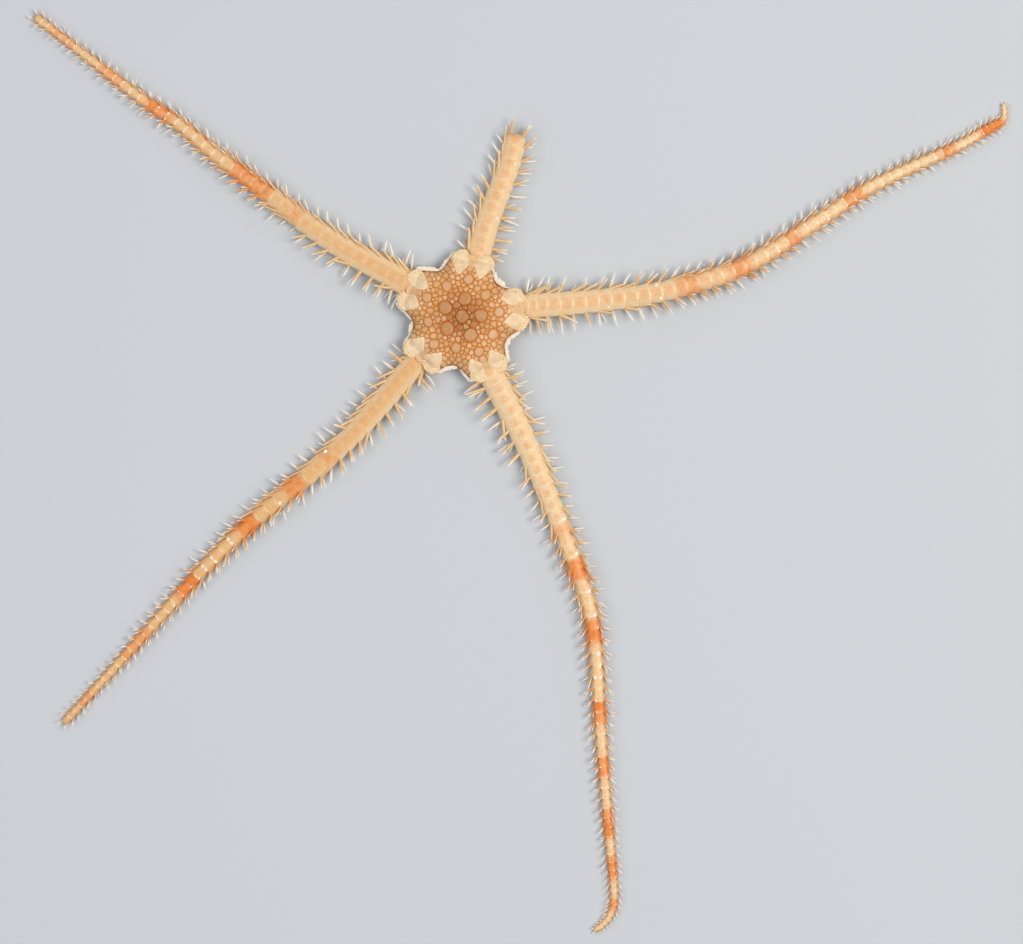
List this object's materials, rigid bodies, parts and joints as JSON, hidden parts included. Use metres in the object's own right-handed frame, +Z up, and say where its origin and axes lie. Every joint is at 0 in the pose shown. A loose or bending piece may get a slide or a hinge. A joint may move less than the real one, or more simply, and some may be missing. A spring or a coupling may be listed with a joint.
{
  "type": "brittle star",
  "caption": "Brittle star lying flat on its oral side: a domed scaly disc with long, slender, spiny, banded arms spread out and an arm broken off short.",
  "frame": {"origin": "under the middle of the whole spread, on the plane that the animal lies on", "axes": "+Z up, away from the oral side; +X along the long way of the spread, towards the tip of arm B"},
  "size_m": [0.167, 0.157, 0.0059],
  "materials": {
    "disc": "satin, scaly skin over lime plates",
    "arm": "satin lime plates and spines, cream with orange bands",
    "jaw": "satin lime plates"
  },
  "bodies": {
    "root": {"disc": "disc", "jaw_1": "jaw", "jaw_2": "jaw", "jaw_3": "jaw", "jaw_4": "jaw", "jaw_5": "jaw", "arm_a_1": "arm", "arm_b_1": "arm", "arm_b_2": "arm", "arm_b_3": "arm", "arm_b_4": "arm", "arm_c_1": "arm", "arm_c_2": "arm", "arm_c_3": "arm", "arm_c_4": "arm", "arm_d_1": "arm", "arm_d_2": "arm", "arm_d_3": "arm", "arm_d_4": "arm", "arm_e_1": "arm", "arm_e_2": "arm", "arm_e_3": "arm", "arm_e_4": "arm"}
  },
  "joints": []
}
